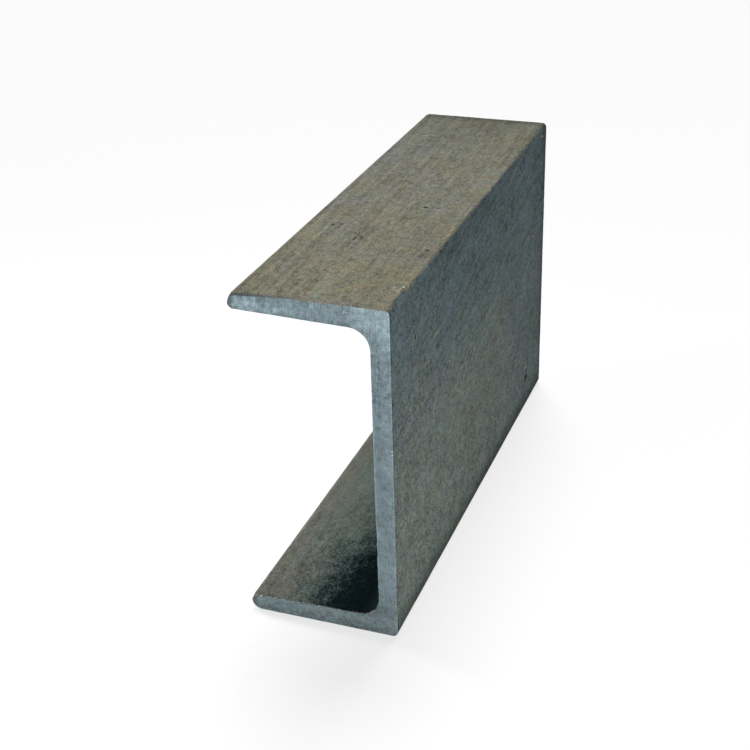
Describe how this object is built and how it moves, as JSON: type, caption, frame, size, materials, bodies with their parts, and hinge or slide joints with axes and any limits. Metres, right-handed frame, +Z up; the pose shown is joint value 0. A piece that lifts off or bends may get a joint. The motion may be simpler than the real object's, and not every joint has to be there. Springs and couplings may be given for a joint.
{
  "type": "steel u-channel",
  "caption": "Short saw-cut length of hot-rolled steel channel: flat web, two tapered flanges with rounded toes, for framing, brackets and bases.",
  "frame": {"origin": "on the floor under the middle of the part, which stands on its lower flange", "axes": "+Z up, +Y along the length, away from the cut end nearest in the picture, +X out of the back of the web"},
  "size_m": [0.0446, 0.16, 0.1],
  "materials": {
    "rolled_steel": "worn grey mill scale with light rust specks, bare saw-cut ends"
  },
  "bodies": {
    "root": {"channel": "rolled_steel"}
  },
  "joints": []
}
